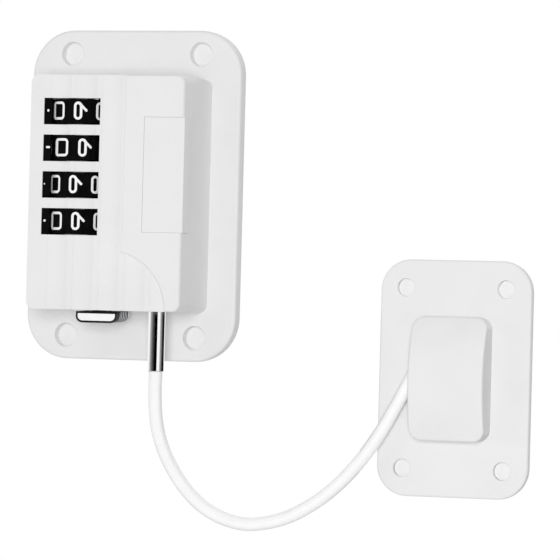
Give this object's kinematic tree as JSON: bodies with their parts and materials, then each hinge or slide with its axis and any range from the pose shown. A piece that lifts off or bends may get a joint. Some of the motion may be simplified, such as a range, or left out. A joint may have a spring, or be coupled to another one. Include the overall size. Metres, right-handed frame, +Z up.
{
  "type": "refrigerator lock",
  "caption": "Combination cable lock for a refrigerator: a dial lock on a rounded stick-on plate, a short white cable with a chromed plug and a small stick-on anchor with an arched cap.",
  "frame": {"origin": "centre of the lock unit's adhesive back face; the anchor's adhesive back lies in the same plane", "axes": "+X to the right as the viewer sees it, +Y into the door, +Z up; the dials face -Y"},
  "size_m": [0.155, 0.0271, 0.1448],
  "materials": {
    "white_plastic": "satin moulded white",
    "foam": "matt foam",
    "black_plastic": "satin black",
    "steel": "plain steel",
    "chrome": "bright chrome",
    "cable_coat": "glossy white coat"
  },
  "bodies": {
    "lock": {"lock_pad": "foam", "lock_plate": "white_plastic", "front_cover": "white_plastic", "side_panel": "white_plastic", "dial_cradle": "black_plastic", "dial_shaft": "steel", "spacer_washers": "steel", "detent_spring": "steel", "latch_spring": "steel", "plug_socket": "white_plastic", "cover_screws": "steel", "cable_stop": "steel", "anchor_pad": "foam", "anchor_plate": "white_plastic", "anchor_cover": "white_plastic", "anchor_screws": "steel"},
    "dial_1": {"number_wheel_1": "black_plastic", "code_ring_1": "steel"},
    "dial_2": {"number_wheel_2": "black_plastic", "code_ring_2": "steel"},
    "dial_3": {"number_wheel_3": "black_plastic", "code_ring_3": "steel"},
    "dial_4": {"number_wheel_4": "black_plastic", "code_ring_4": "steel"},
    "latch": {"latch_slider": "steel", "release_tab": "chrome"},
    "plug": {"plug_pin": "steel", "plug_ferrule": "chrome", "cable": "cable_coat"}
  },
  "joints": [
    {"name": "dial_1_spin", "type": "hinge", "parent": "lock", "child": "dial_1", "pos_m": [-0.0109, -0.0171, 0.02337], "axis": [0, 0, 1], "continuous": true},
    {"name": "dial_2_spin", "type": "hinge", "parent": "lock", "child": "dial_2", "pos_m": [-0.0109, -0.0171, 0.01273], "axis": [0, 0, 1], "continuous": true},
    {"name": "dial_3_spin", "type": "hinge", "parent": "lock", "child": "dial_3", "pos_m": [-0.0109, -0.0171, 0.00208], "axis": [0, 0, 1], "continuous": true},
    {"name": "dial_4_spin", "type": "hinge", "parent": "lock", "child": "dial_4", "pos_m": [-0.0109, -0.0171, -0.00857], "axis": [0, 0, 1], "continuous": true},
    {"name": "latch_slide", "type": "slide", "parent": "lock", "child": "latch", "axis": [1, 0, 0], "range_m": [0, 0.0024], "stiffness_N_per_m": 250, "springref_m": -0.004, "deforming": ["latch_spring"]},
    {"name": "plug_pull", "type": "slide", "parent": "lock", "child": "plug", "axis": [0, 0, -1], "range_m": [0, 0.024], "deforming": ["cable"]}
  ]
}
